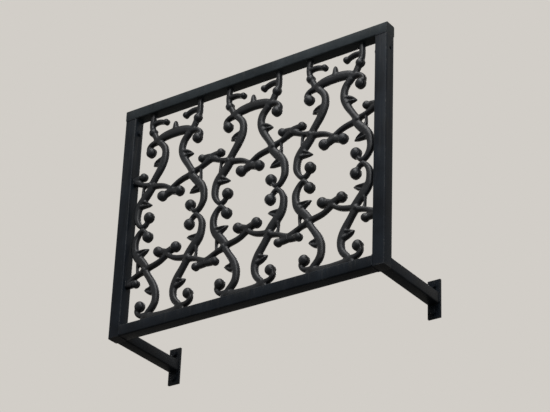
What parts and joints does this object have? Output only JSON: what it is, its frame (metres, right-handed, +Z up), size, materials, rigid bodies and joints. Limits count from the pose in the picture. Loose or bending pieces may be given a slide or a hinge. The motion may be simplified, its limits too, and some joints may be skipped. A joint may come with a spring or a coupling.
{
  "type": "iron window balcony",
  "caption": "Shallow black iron window balcony: a welded square tube frame around pierced cast scroll panels, with return bars to the wall.",
  "frame": {"origin": "on the wall face of the left wall plate, on the axis of the left return bar", "axes": "+X along the balcony to the right as seen from outside, +Y into the wall, +Z up"},
  "size_m": [1.06, 0.33, 0.905],
  "materials": {
    "frame_paint": "satin",
    "handrail_paint": "satin",
    "cast_iron_paint": "satin"
  },
  "bodies": {
    "root": {"handrail": "handrail_paint", "handrail_left_cap": "handrail_paint", "handrail_right_cap": "handrail_paint", "left_post": "frame_paint", "right_post": "frame_paint", "left_post_foot": "frame_paint", "right_post_foot": "frame_paint", "bottom_rail": "frame_paint", "left_casting": "cast_iron_paint", "middle_casting": "cast_iron_paint", "right_casting": "cast_iron_paint", "left_return_bar": "frame_paint", "right_return_bar": "frame_paint", "left_wall_plate": "frame_paint", "right_wall_plate": "frame_paint"}
  },
  "joints": []
}
